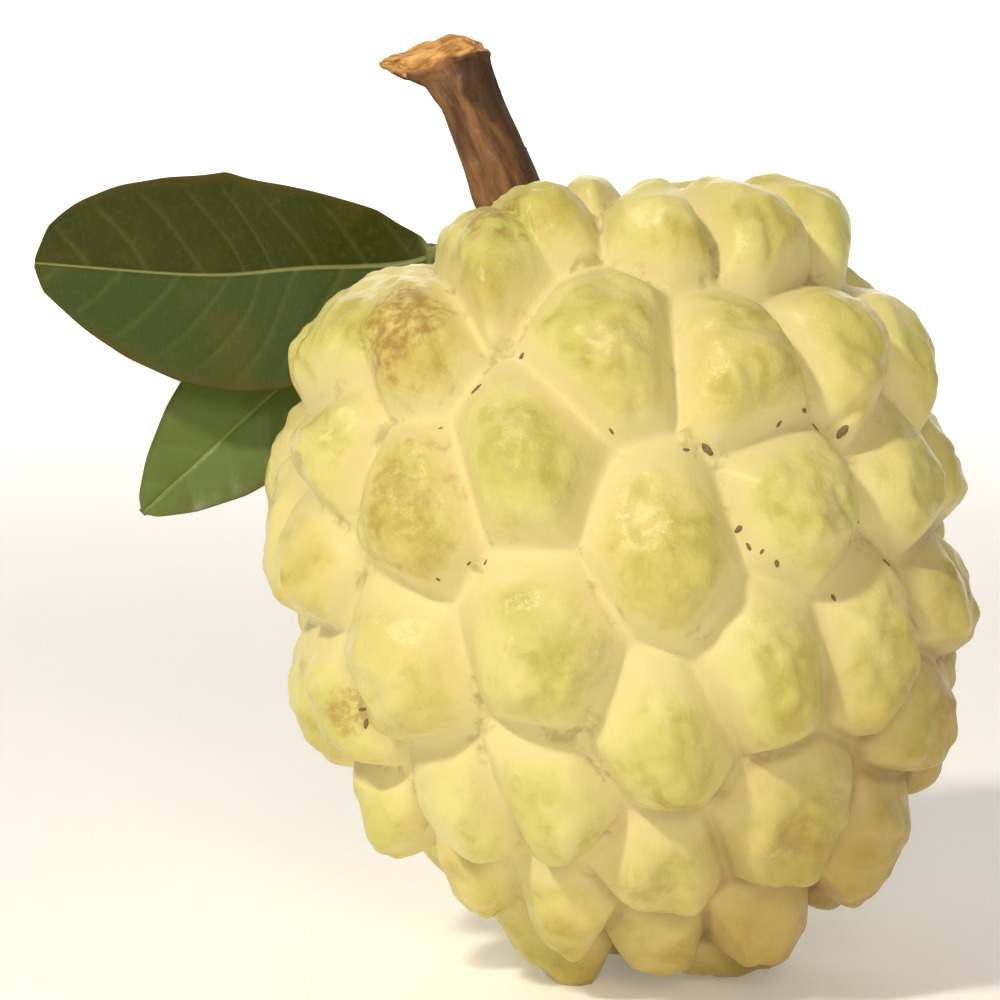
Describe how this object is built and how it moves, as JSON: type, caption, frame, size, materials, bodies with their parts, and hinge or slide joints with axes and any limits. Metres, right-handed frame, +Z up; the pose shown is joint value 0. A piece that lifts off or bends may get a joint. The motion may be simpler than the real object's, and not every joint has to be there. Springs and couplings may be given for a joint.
{
  "type": "custard apple",
  "caption": "Picked custard apple with pale green knobs and cream valleys, a woody twig with a torn heel, and two leaves, resting on its lowest knobs.",
  "frame": {"origin": "bottom centre of the object's box, on the surface that the fruit rests on", "axes": "+Z up, +X to the right and +Y away, seen from the side that the twig leans to the left of; the fruit's axis leans 15 degrees to -X and 8 degrees to +Y"},
  "size_m": [0.1062, 0.0774, 0.1028],
  "materials": {
    "fruit_skin": "satin",
    "twig_bark": "matte",
    "leaf_dark_green": "satin",
    "leaf_light_green": "satin"
  },
  "bodies": {
    "root": {"fruit": "fruit_skin", "stalk": "twig_bark", "leaf_upper": "leaf_dark_green", "leaf_lower": "leaf_light_green"}
  },
  "joints": []
}
